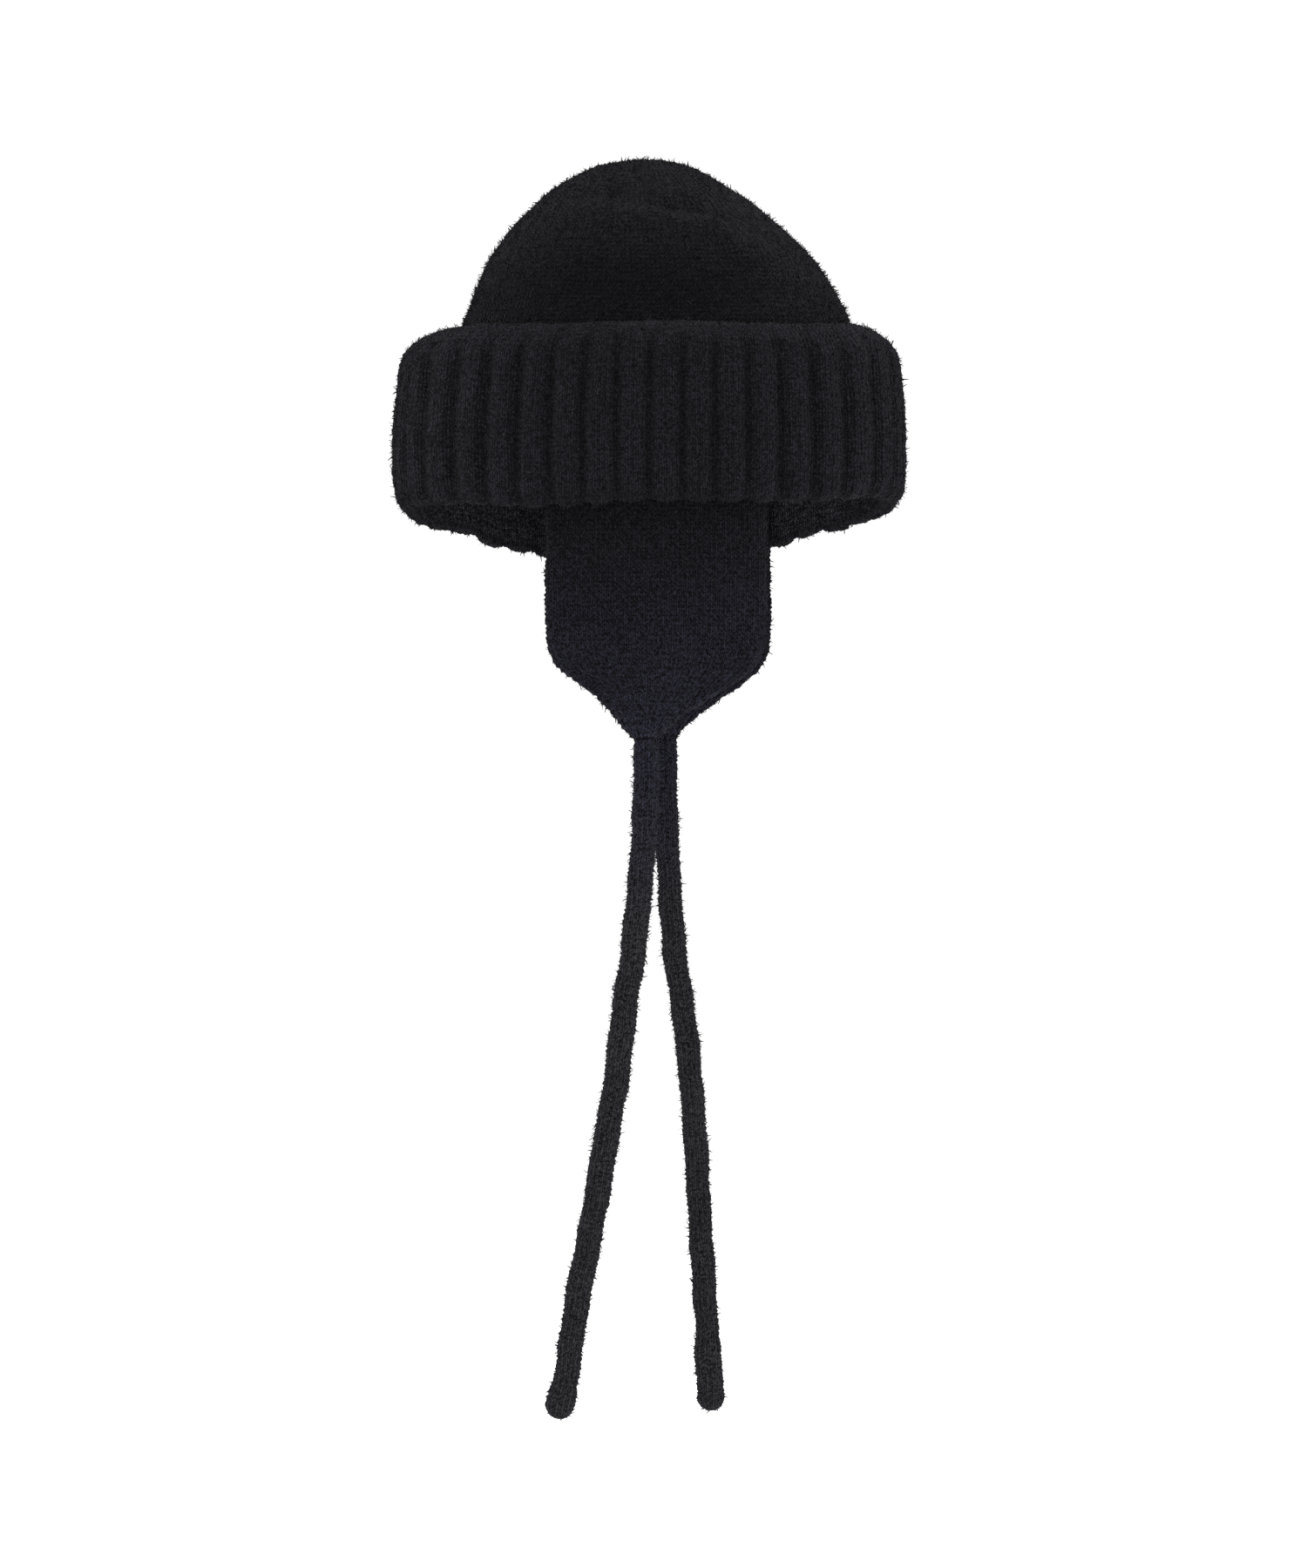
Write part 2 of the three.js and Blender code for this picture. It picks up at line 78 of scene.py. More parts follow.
tie_route_right = [
    (-0.0011, -0.0650, -0.2626),
    (-0.0012, -0.0639, -0.2825),
    (-0.0016, -0.0629, -0.3000),
    (-0.0030, -0.0619, -0.3190),
    (-0.0053, -0.0606, -0.3400),
    (-0.0076, -0.0595, -0.3595),
    (-0.0107, -0.0584, -0.3790),
    (-0.0127, -0.0573, -0.3980),
    (-0.0150, -0.0562, -0.4175),
    (-0.0184, -0.0551, -0.4370),
    (-0.0214, -0.0540, -0.4565),
    (-0.0250, -0.0530, -0.4760),
    (-0.0290, -0.0519, -0.4955),
    (-0.0326, -0.0508, -0.5150),
    (-0.0346, -0.0499, -0.5305),
    (-0.0368, -0.0490, -0.5460),
    (-0.0392, -0.0482, -0.5590),
]
tie_route_left = [
    (0.0075, 0.0650, -0.2596),
    (0.0077, 0.0639, -0.2825),
    (0.0082, 0.0629, -0.3000),
    (0.0094, 0.0619, -0.3200),
    (0.0107, 0.0605, -0.3450),
    (0.0123, 0.0594, -0.3655),
    (0.0153, 0.0583, -0.3860),
    (0.0180, 0.0572, -0.4070),
    (0.0201, 0.0561, -0.4275),
    (0.0219, 0.0549, -0.4480),
    (0.0232, 0.0538, -0.4685),
    (0.0240, 0.0527, -0.4890),
    (0.0252, 0.0516, -0.5095),
    (0.0264, 0.0505, -0.5300),
    (0.0274, 0.0496, -0.5465),
    (0.0284, 0.0487, -0.5625),
    (0.0292, 0.0481, -0.5725),
]


def length_of(points):
    return float(np.linalg.norm(np.diff(np.asarray(points), axis=0), axis=1).sum())


print("Routes:", round(length_of(tie_route_right), 3), round(length_of(tie_route_left), 3), "m")

# %% [markdown]
# ## Smooth curves through short tables
#
# The cap's shape is kept as short tables, as in the solid model: each row is one section, and a smooth curve runs
# through the rows. A table here is a dictionary of columns, so that a column can be read at many places at once,
# which is far quicker than point by point.


# %% Tables and curves
def table(names, rows):
    return dict(zip(names.split(), np.array(rows, float).T))


def column_at(values, place):
    """A column at places between its rows, by a smooth curve through them."""
    last = len(values) - 1
    place = np.asarray(place, float)
    i = np.clip(np.floor(place).astype(int), 0, last - 1)
    t = place - i
    a, b, c, d = (values[np.clip(i + k, 0, last)] for k in (-1, 0, 1, 2))
    return b + 0.5 * t * (c - a + t * (2 * a - 5 * b + 4 * c - d + t * (3 * (b - c) + d - a)))


def place_of(values, value):
    """The place in a rising column where it takes a value."""
    return np.interp(value, values, np.arange(len(values)))


def mix(a, b, t):
    return a + (b - a) * t


def ease(t):
    x = np.clip(t, 0, 1)
    return x * x * (3 - 2 * x)


# %% [markdown]
# ## The cap's main sizes
#
# These repeat the solid model's driving sizes, in metres. The cap sits on a head of 56 to 59 cm. The oval sections
# are squarer than an ellipse, as a head's are, which one exponent sets.

# %% Main sizes
crown_length = 0.191
crown_depth = 0.154
crown_height = 0.0955
crown_wall = 0.0035
crown_lean = 0.0036
dent_depth = 0.004
fold_fade = 0.125

cuff_half_length = crown_length / 2 + 0.0214
cuff_half_depth = crown_depth / 2 + 0.012
cuff_height = 0.078
layer_thickness = 0.0055
fold_stack = 2 * layer_thickness + 0.002
curl_gap = 0.0009
ear_dip = 0.020
top_sink = 0.004
rib_count = 44
rib_depth = 0.0033
scallop_height = 0.006

crown_top = crown_wall
seam_height = crown_top - crown_height
top_edge_height = seam_height + 0.016
rim_height = top_edge_height - cuff_height
clearance = 0.0003
squareness = 2.7

stitch = 0.0021
wales_per_rib = 7
plain_relief, rib_relief, tie_relief = 0.0008, 0.0009, 0.001
print("Rim at the forehead:", round(rim_height, 4), "m, wales round the cuff:", rib_count * wales_per_rib)

# %% [markdown]
# ## The oval
#
# A place round the cap is a share of a full turn from the forehead to the wearer's left. The ribs of the real cuff
# look evenly wide from the side, so the shares step evenly along the side and the ends, and not by angle.

# %% Oval
quarter_angle = np.linspace(0, math.pi / 2, 241)
quarter_x = np.cos(quarter_angle).clip(0) ** (2 / squareness)
quarter_y = np.sin(quarter_angle) ** (2 / squareness)
quarter_steps = np.maximum(-np.diff(quarter_x) * cuff_half_length, np.diff(quarter_y) * cuff_half_depth)
quarter_along = np.concatenate(([0], np.cumsum(quarter_steps)))


def oval_at(turn):
    wrapped = np.mod(turn, 1) * 4
    sector = np.minimum(wrapped.astype(int), 3)
    within = wrapped - sector
    along = np.where(sector % 2 == 1, 1 - within, within) * quarter_along[-1]
    x = np.interp(along, quarter_along, quarter_x)
    y = np.interp(along, quarter_along, quarter_y)
    return np.where((sector == 1) | (sector == 2), -x, x), np.where(sector >= 2, -y, y)


def outward_at(oval, half_length, half_depth):
    power = squareness - 1
    x = np.sign(oval[0]) * np.abs(oval[0]) ** power / half_length
    y = np.sign(oval[1]) * np.abs(oval[1]) ** power / half_depth
    size = np.hypot(x, y)
    return x / size, y / size


# %% [markdown]
# ## Laying fabric
#
# One helper makes every piece: it adds a grid primitive, moves each point to its place, and merges the points where
# edges meet, which closes seams and poles. Its map is then counted in stitches: one unit across is one wale (a
# column of stitches) and one unit along is one course (a row). Where a piece narrows, the real knitter drops
# stitches, so the number of wales falls row by row and no stitch gets too thin.


# %% Lay a grid on a form
def lay_fabric(name, points, wales, courses, nap, painted_hollow_shade=None):
    """points[row, column] are places, wales[row] the stitches across a row of faces, courses[row] the stitches run
    by each row of points, nap[row] how much loose fibre grows there, and painted_hollow_shade[row, column] how far
    the fabric is sunk, where the wool's colour is dimmed as painted shade."""
    rows, columns = points.shape[0] - 1, points.shape[1] - 1
    bpy.ops.object.select_all(action="DESELECT")
    bpy.ops.mesh.primitive_grid_add(x_subdivisions=columns, y_subdivisions=rows, size=2)
    piece = bpy.context.object
    piece.name = piece.data.name = name
    mesh = piece.data
    flat = np.empty(len(mesh.vertices) * 3, np.float32)
    mesh.vertices.foreach_get("co", flat)
    i = np.rint((flat[0::3] + 1) / 2 * columns).astype(int)
    j = np.rint((flat[1::3] + 1) / 2 * rows).astype(int)
    corners = np.empty(len(mesh.loops), np.int32)
    mesh.loops.foreach_get("vertex_index", corners)
    face_row = np.repeat(j[corners].reshape(-1, 4).min(axis=1), 4)
    across = i[corners] / columns * np.asarray(wales, float)[face_row]
    along = np.asarray(courses, float)[j[corners]]
    mesh.uv_layers.active.data.foreach_set("uv", np.stack([across, along], axis=1).ravel())
    mesh.attributes.new("nap", "FLOAT", "POINT").data.foreach_set("value", np.asarray(nap, float)[j])
    if painted_hollow_shade is not None:
        mesh.attributes.new("painted_hollow_shade", "FLOAT", "POINT").data.foreach_set("value", painted_hollow_shade[j, i].astype(np.float32))
    mesh.vertices.foreach_set("co", points[j, i].astype(np.float32).ravel())
    mesh.update()
    close_up(piece)
    return piece


def close_up(piece):
    bpy.ops.object.mode_set(mode="EDIT")
    bpy.ops.mesh.select_all(action="SELECT")
    bpy.ops.mesh.remove_doubles(threshold=1e-6)
    bpy.ops.mesh.normals_make_consistent(inside=False)
    bpy.ops.object.mode_set(mode="OBJECT")
    bpy.ops.object.shade_smooth()
    print(piece.name, len(piece.data.vertices), "points,", 2 * len(piece.data.polygons), "triangles")


def normals_of(points):
    """The direction square to a grid of points whose first and last columns meet."""
    ring = points[:, :-1]
    across = np.roll(ring, -1, axis=1) - np.roll(ring, 1, axis=1)
    across = np.concatenate([across, across[:, :1]], axis=1)
    along = np.gradient(points, axis=0)
    square = np.cross(across, along)
    return square / np.maximum(np.linalg.norm(square, axis=2, keepdims=True), 1e-12)


def even_places(line, spacing):
    """Places along a fine line of points, as shares of its steps, that lie evenly spaced."""
    lengths = np.concatenate(([0], np.cumsum(np.linalg.norm(np.diff(line, axis=0), axis=1))))
    count = max(1, round(lengths[-1] / spacing))
    return np.interp(np.linspace(0, lengths[-1], count + 1), lengths, np.linspace(0, 1, len(line)))


def roughen(piece, size, amount):
    """Uneven tension in the wool: a soft displacement that is applied to the mesh."""
    cloud = bpy.data.textures.new(piece.name + "_unevenness", "CLOUDS")
    cloud.noise_scale = size
    uneven = piece.modifiers.new("unevenness", "DISPLACE")
    uneven.texture = cloud
    uneven.texture_coords = "LOCAL"
    uneven.strength = amount
    uneven.mid_level = 0.5
    bpy.context.view_layer.objects.active = piece
    bpy.ops.object.modifier_apply(modifier=uneven.name)


# %% Uneven stitches
def uneven_stitches(wales, columns, amount, seed):
    """A small random height for each half stitch of each row, because no two stitches of brushed wool are alike."""
    draw = np.random.default_rng(seed)
    turn = np.linspace(0, 1, columns)
    rows = []
    for count in wales:
        heights = draw.normal(0, 1, max(8, round(2 * count)))
        rows.append(np.interp(turn * len(heights), np.arange(len(heights) + 1), np.append(heights, heights[0])))
    return amount * np.clip(rows, -2, 2)


def ridges(across, along, height):
    """The relief of plain knit, half above the form and half below it: wales as ridges, a wave for each course."""
    wale = 0.5 - 0.5 * np.cos(2 * math.pi * across)
    return height * (wale * (0.65 - 0.35 * np.cos(2 * math.pi * along)) - 0.5)


def wales_for(width, full_width, full_count):
    """The stitches across a narrower row: the full count, less a quarter or a half step each time it would crowd."""
    steps = np.array([1, 3 / 4, 1 / 2, 3 / 8, 1 / 4, 3 / 16, 1 / 8, 1 / 16])
    share = np.asarray(width) / full_width
    return np.array([full_count * steps[np.argmin(np.abs(np.log(steps) - math.log(max(s, 0.02))))] for s in share])


# %% [markdown]
# ## The crown
#
# The crown is a dome of plain knit, 3.5 mm thick, that slumps a little: a broad hollow above the cuff, a soft ridge
# over it with a valley above the ridge, and a small notch near the top. A turned dome would look like a bowl, so the
# sections come from a table and each fold pushes the surface in or out by a smooth hump of its own.

# %% Crown tables
crown_sections = table(
    "down length depth shift",
    [
        (0, 0, 0, -0.35),
        (0.004, 0.07, 0.09, -0.35),
        (0.021, 0.156, 0.17, -0.5),
        (0.042, 0.23, 0.245, -0.8),
        (0.105, 0.348, 0.37, -0.85),
        (0.147, 0.414, 0.435, -0.85),
        (0.209, 0.499, 0.525, -0.6),
        (0.272, 0.567, 0.6, -0.5),
        (0.335, 0.638, 0.67, -0.3),
        (0.398, 0.698, 0.73, -0.05),
        (0.482, 0.767, 0.8, 0.25),
        (0.565, 0.821, 0.853, 0.5),
        (0.649, 0.864, 0.895, 0.7),
        (0.733, 0.901, 0.928, 0.9),
        (0.796, 0.926, 0.95, 0.95),
        (0.885, 0.956, 0.975, 1),
        (1, 1, 1, 1),
    ],
)
# side, across, down, wide, tall, turn in degrees, push
crown_folds = [
    (-1, -0.04, 0.74, 0.62, 0.25, 0, -1.5),
    (-1, 0.05, 0.37, 0.27, 0.055, -9, 0.65),
    (-1, 0.41, 0.47, 0.2, 0.06, -27, 0.6),
    (-1, 0.17, 0.3, 0.19, 0.05, -12, -0.5),
    (-1, -0.15, 0.22, 0.05, 0.04, 30, -0.6),
    (1, 0.1, 0.62, 0.45, 0.18, 6, -0.7),
    (1, -0.2, 0.38, 0.3, 0.07, 10, 0.4),
]


# %% Crown shape
def crown_section(place):
    return (
        crown_top - column_at(crown_sections["down"], place) * crown_height,
        column_at(crown_sections["length"], place) * crown_length / 2,
        column_at(crown_sections["depth"], place) * crown_depth / 2,
        column_at(crown_sections["shift"], place) * crown_lean,
    )


def crown_surface(oval, height):
    place = place_of(crown_sections["down"], (crown_top - height) / crown_height)
    _, half_length, half_depth, shift = crown_section(place)
    return shift + oval[0] * half_length, oval[1] * half_depth


def fold_push(x, y, height):
    push = 0
    for side, across, down, wide, tall, turn, share in crown_folds:
        away = x - across * crown_length / 2
        below = crown_top - height - down * crown_height
        angle = math.radians(turn)
        along = away * math.cos(angle) - below * math.sin(angle)
        over = away * math.sin(angle) + below * math.cos(angle)
        spread = (along / (wide * crown_height)) ** 2 + (over / (tall * crown_height)) ** 2
        push = push + share * dent_depth * ease(side * y / (fold_fade * crown_depth)) * np.exp(-spread)
    return push


def crown_points(turn, place, inset):
    oval = oval_at(turn)
    last = len(crown_sections["down"]) - 1
    height, half_length, half_depth, shift = crown_section(place)
    above = crown_section(np.maximum(place - 0.5, 0))
    below = crown_section(np.minimum(place + 0.5, last))
    spread, fall = below[1] - above[1], above[0] - below[0]
    up = spread / np.hypot(spread, fall)
    sideways = fall / np.hypot(spread, fall) * np.minimum(1, half_length / (2 * crown_wall))
    outward = outward_at(oval, crown_length, crown_depth)
    push = fold_push(oval[0] * half_length, oval[1] * half_depth, height) - inset
    return np.stack(
        np.broadcast_arrays(
            shift + oval[0] * half_length + outward[0] * sideways * push,
            oval[1] * half_depth + outward[1] * sideways * push,
            height + up * push,
        ),
        axis=-1,
    )


# %% [markdown]
# The crown's fabric is one grid from the middle of the lining side, down the inside, round the lower edge and up the
# outside to the top. It has two faces for each wale and course outside, so that the columns of stitches are real
# ridges, and fewer rows inside, where only a glimpse shows.

# %% Crown fabric
crown_wales = 264
inside_spacing = 0.0045
nap_start = top_edge_height - 0.012
crown_turn = np.linspace(0, 1, 2 * crown_wales + 1)[None, :]
last_place = len(crown_sections["down"]) - 1
fine_places = np.linspace(0, last_place, 400)
profile = crown_points(np.full(400, 0.75), fine_places, 0.0)
outer_places = even_places(profile, stitch / 2)[::-1] * last_place
inner_places = even_places(profile, inside_spacing) * last_place

outer = crown_points(crown_turn, outer_places[:, None], 0.0)
inner = crown_points(crown_turn, inner_places[:, None], crown_wall)
outer[0, :, 2] = inner[-1, :, 2] = seam_height
outer_share = column_at(crown_sections["length"], outer_places)
outer_wales = wales_for(outer_share, 1, crown_wales)
outer_courses = np.arange(len(outer)) / 2
relief = ridges(crown_turn * outer_wales[:, None], outer_courses[:, None], plain_relief)
relief += uneven_stitches(outer_wales, crown_turn.size, 0.00024, 1)
outer += normals_of(outer) * (relief * np.minimum(1, outer_share * 6)[:, None])[..., None]
crown_rows = np.concatenate([inner, outer])
inner_share = column_at(crown_sections["length"], inner_places)
# Painted shade: the wool's colour is dimmed where the folds push the crown in, most in the broad hollow above the cuff.
painted_sunk_shade = np.clip(-fold_push(crown_rows[..., 0], crown_rows[..., 1], crown_rows[..., 2]) / dent_depth, 0, 1) ** 0.7
crown = lay_fabric(
    "crown_knit",
    crown_rows,
    np.concatenate([wales_for(inner_share, 1, crown_wales), outer_wales])[:-1],
    np.concatenate([np.arange(len(inner)) * inside_spacing / stitch, outer_courses]),
    np.concatenate([np.zeros(len(inner)), outer[:, :, 2].mean(axis=1) > nap_start]),
    painted_sunk_shade,
)
roughen(crown, 0.02, 0.0011)

# %% [markdown]
# ## The cuff
#
# The cuff is one deep band of rib knit folded up on itself at the rim: the outer layer runs up outside to a curled
# edge that lies on the crown, and the inner layer runs up inside to the crown's lower edge. The fold is why the rim
# is thick and round. The table gives the line of the folded band, and its ribs are set into that line afterwards.

# %% Cuff tables
cuff_edges = table(
    "turn drop sink",
    [
        (0, 0, 0.15),
        (0.07, 0.2, 0.15),
        (0.114, 0.4, 0.2),
        (0.15, 0.7, 0.3),
        (0.2, 0.95, 0.3),
        (0.25, 1, 0.3),
        (0.32, 0.97, 0.3),
        (0.365, 0.78, 0.3),
        (0.4, 0.42, 0.3),
        (0.5, 0.15, 0.25),
        (0.6, 0.22, 0.9),
        (0.67, 0.36, 1.4),
        (0.75, 0.25, 1.1),
        (0.85, 0.25, 1.3),
        (0.93, 0.02, 0.5),
        (1, 0, 0.15),
    ],
)
# up, lean, face, rib
outer_layer = [
    (0.985, 1.0, 0, 0),
    (1.0, 0.74, 0, 0),
    (0.945, 0.42, 0, 0.05),
    (0.86, 0.2, 0, 0.6),
    (0.7, 0.1, 0, 1),
    (0.42, 0.01, 0, 1),
    (0.12, 0.03, 0, 1),
    (0.03, 0.03, 0.4, 0.8),
]
hidden_side = [
    (0.08, 0, 1, 0),
    (0.5, 0.02, 1, 0),
    (0.8, 0.2, 1, 0),
    (0.91, 0.6, 0.5, 0),
    (0.93, 1.0, 0, 0),
]
# up, crown, stack, wall, rib
inner_layer = [
    (0.0, 0, 0.52, 0, 0.3),
    (0.06, 0, 1, 1, -0.5),
    (0.5, 0.04, 1, 1, -0.5),
    (0.74, 0.75, 1, 1, -0.3),
    (1.0, 1, 1, 1, 0),
    (1.0, 1, 1, 0, 0),
    (0.74, 0.7, 0.6, 0, 0),
    (0.5, 0.04, 0.58, 0, 0),
    (0.095, 0, 0.56, 0, 0),
]


# %% Cuff shape
def cuff_edges_at(turn):
    wrapped = np.mod(turn, 1)
    place = place_of(cuff_edges["turn"], wrapped)
    i = np.minimum(place.astype(int), len(cuff_edges["turn"]) - 2)
    t = ease(place - i)
    drop = mix(cuff_edges["drop"][i], cuff_edges["drop"][i + 1], t)
    sink = mix(cuff_edges["sink"][i], cuff_edges["sink"][i + 1], t)
    return rim_height - drop * ear_dip, top_edge_height - sink * top_sink


def outer_layer_line(turn, up, lean, face):
    oval = oval_at(turn)
    outward = outward_at(oval, cuff_half_length, cuff_half_depth)
    rim, top = cuff_edges_at(turn)
    height = mix(rim, top, up)
    on_crown = crown_surface(oval, height)
    x = mix(oval[0] * cuff_half_length, on_crown[0] + outward[0] * curl_gap, lean)
    y = mix(oval[1] * cuff_half_depth, on_crown[1] + outward[1] * curl_gap, lean)
    inset = face * layer_thickness
    return np.stack([x - outward[0] * inset, y - outward[1] * inset, height], axis=-1)


def inner_layer_line(turn, up, crown_share, stack, wall):
    oval = oval_at(turn)
    outward = outward_at(oval, cuff_half_length, cuff_half_depth)
    height = mix(cuff_edges_at(turn)[0], seam_height - clearance, up)
    on_crown = crown_surface(oval, np.full_like(turn, seam_height))
    inset = stack * fold_stack
    x = mix(oval[0] * cuff_half_length - outward[0] * inset, on_crown[0] - outward[0] * wall * crown_wall, crown_share)
    y = mix(oval[1] * cuff_half_depth - outward[1] * inset, on_crown[1] - outward[1] * wall * crown_wall, crown_share)
    return np.stack([x, y, height], axis=-1)


def closed_curve(values, place):
    """A smooth closed curve through values[row], at places counted in rows."""
    count = len(values)
    i = np.floor(place).astype(int)
    t = (place - i).reshape(-1, *[1] * (values.ndim - 1))
    a, b, c, d = (values[(i + k) % count] for k in (-1, 0, 1, 2))
    return b + 0.5 * t * (c - a + t * (2 * a - 5 * b + 4 * c - d + t * (3 * (b - c) + d - a)))


# %% [markdown]
# Between two ribs the fabric sinks into a groove a little over three millimetres deep, rounded at the bottom and with
# soft shoulders. The groove fades out under the curled top edge and makes the rim scalloped.

# %% Cuff fabric
cuff_wales = rib_count * wales_per_rib
cuff_turn = np.linspace(0, 1, 2 * cuff_wales + 1)
cuff_lines = np.array(
    [outer_layer_line(cuff_turn, up, lean, face) for up, lean, face, _ in outer_layer]
    + [inner_layer_line(cuff_turn, *row[:4]) for row in inner_layer]
    + [outer_layer_line(cuff_turn, up, lean, face) for up, lean, face, _ in hidden_side]
)
rib_share = np.array([row[-1] for row in outer_layer + inner_layer + hidden_side], float)
scallop_share = np.array([0.0] * 7 + [0.15, 0.3] + [0.0] * 13)

# From row, to row and spacing of the points: fine where it shows
spacings = [(0, 7, 0.00108), (7, 9, 0.001), (9, 10, 0.0015), (10, 13, 0.004), (13, 21, 0.005), (21, 22, 0.0016)]
near_side = 3 * cuff_turn.size // 4
cuff_places = []
for start, stop, spacing in spacings:
    fine = closed_curve(cuff_lines[:, near_side], np.linspace(start, stop, 300))
    cuff_places.append(start + (stop - start) * even_places(fine, spacing)[:-1])
cuff_places = np.append(np.concatenate(cuff_places), 22.0)
cuff_rows = closed_curve(cuff_lines, cuff_places)

groove_reach = 0.36
phase = np.mod(cuff_turn * rib_count, 1)
groove = 1 - ease(np.minimum(phase, 1 - phase) / groove_reach)
rib_here = closed_curve(rib_share, cuff_places)[:, None]
scallop_here = closed_curve(scallop_share, cuff_places)[:, None]
outward = outward_at(oval_at(cuff_turn), cuff_half_length, cuff_half_depth)
cuff_rows[..., 0] -= outward[0] * groove * rib_here * rib_depth
cuff_rows[..., 1] -= outward[1] * groove * rib_here * rib_depth
cuff_rows[..., 2] += groove * scallop_here * scallop_height

cuff_line = cuff_rows[:, near_side]
cuff_courses = np.concatenate(([0], np.cumsum(np.linalg.norm(np.diff(cuff_line, axis=0), axis=1)))) / stitch
shows = (cuff_places <= 10.2) | (cuff_places > 21)
relief = ridges(cuff_turn[None, :] * cuff_wales, cuff_courses[:, None], rib_relief)
relief += uneven_stitches(np.full(len(cuff_rows), cuff_wales), cuff_turn.size, 0.00026, 2)
cuff_rows += normals_of(cuff_rows) * (relief * shows[:, None])[..., None]
cuff_rows[-1] = cuff_rows[0]
rim_course = float(np.interp(8.6, cuff_places, cuff_courses))
print("The fold at the rim is at course", round(rim_course, 1), "of", round(float(cuff_courses[-1]), 1))
# Painted shade: between the ribs the wool's colour is dimmed, most at the bottom of each groove.
cuff = lay_fabric(
    "cuff_rib",
    cuff_rows,
    np.full(len(cuff_rows), cuff_wales),
    cuff_courses,
    (cuff_places <= 9.8) | (cuff_places > 21.3),
    np.broadcast_to(0.55 * groove * np.clip(rib_here, 0, 1), cuff_rows.shape[:2]),
)
roughen(cuff, 0.014, 0.0014)

# %% [markdown]
# ## The ear flaps
#
# Each flap hangs out of the cuff over an ear: a plain knit tongue with straight sides that gathers to a point, where
# the tie starts. Plain knit rolls at its edges, so the flap is thicker and rounder there than in the middle. It is
# laid as one flattened tube of fabric, which gives the rolled edge and the two faces in one grid.

# %% Flap tables
flap_width = 0.098
flap_length = 0.1293
flap_thickness = 0.0035
flap_tuck = 0.021
flap_lean_in = 0.009
flap_roll = 0.0012
flap_tip_bulge = tie_diameter / 2 - flap_thickness / 2

flap_outline = table(
    "down half",
    [
        (0, 0.97),
        (0.15, 0.985),
        (0.3, 0.995),
        (0.45, 1),
        (0.58, 0.998),
        (0.68, 0.982),
        (0.711, 0.958),
        (0.741, 0.918),
        (0.77, 0.855),
        (0.8, 0.755),
        (0.83, 0.648),
        (0.858, 0.533),
        (0.889, 0.437),
        (0.92, 0.33),
        (0.949, 0.25),
        (0.979, 0.168),
        (1, 0.115),
    ],
)
# name: side, centre, tip_lean, drop
flaps = {
    "right": (-1, 0.0032, -0.0047, 0.0),
    "left": (1, 0.009, -0.0012, -0.003),
}


# %% Flap shape
def flap_seat(x, height, rim):
    """How far from the middle plane a flap lies inside the cuff."""
    ups, crowns = np.array([0.06, 0.5, 0.74, 1.0]), np.array([0, 0.04, 0.75, 1.0])
    crown_share = np.interp(np.maximum((height - rim) / (seam_height - rim), ups[0]), ups, crowns)
    inside = clearance + flap_thickness / 2
    half_length = mix(cuff_half_length - fold_stack, crown_length / 2 - crown_wall, crown_share) - inside
    half_depth = mix(cuff_half_depth - fold_stack, crown_depth / 2 - crown_wall, crown_share) - inside
    share = np.minimum(np.abs(x) / half_length, 1)
    return half_depth * (1 - share**squareness) ** (1 / squareness)


def flat_tube(around, half, thick):
    """A point of a flattened tube's section with round ends, at a share of the way round from the front's middle."""
    straight = half - thick
    total = 4 * straight + 2 * math.pi * thick
    along = np.mod(around, 1) * total
    mirrored = along > total / 2
    along = np.where(mirrored, total - along, along)
    bend = np.clip((along - straight) / thick, 0, math.pi)
    beyond = np.maximum(along - straight - math.pi * thick, 0)
    x = np.minimum(along, straight) + thick * np.sin(bend) - beyond
    return np.where(mirrored, -x, x), thick * np.cos(bend)


def flap_points(flap, around, place):
    side, centre, tip_lean, drop = flap
    down = column_at(flap_outline["down"], place)
    half = column_at(flap_outline["half"], place) * flap_width / 2
    top = rim_height + flap_tuck - drop
    rim = cuff_edges_at(np.array(side / 4))[0]
    tip = ease((down - 0.8) / 0.2)
    edge = flap_thickness / 2 + flap_roll + tip * flap_tip_bulge
    across, through = flat_tube(around, half, np.minimum(edge, half * 0.98))
    share = np.abs(across / half)
    rolled = share**8 * flap_roll
    thick = through / edge * (flap_thickness / 2 + share**8 * flap_roll + tip * flap_tip_bulge)
    x = centre + tip * tip_lean + across
    height = top - down * flap_length
    lean = flap_lean_in * ease((down - 0.2) / 0.8)
    y = side * (flap_seat(x, height, rim) - lean - rolled) - thick
    return np.stack(np.broadcast_arrays(x, y, height), axis=-1)


# %% Flap fabric
flap_wales = 96


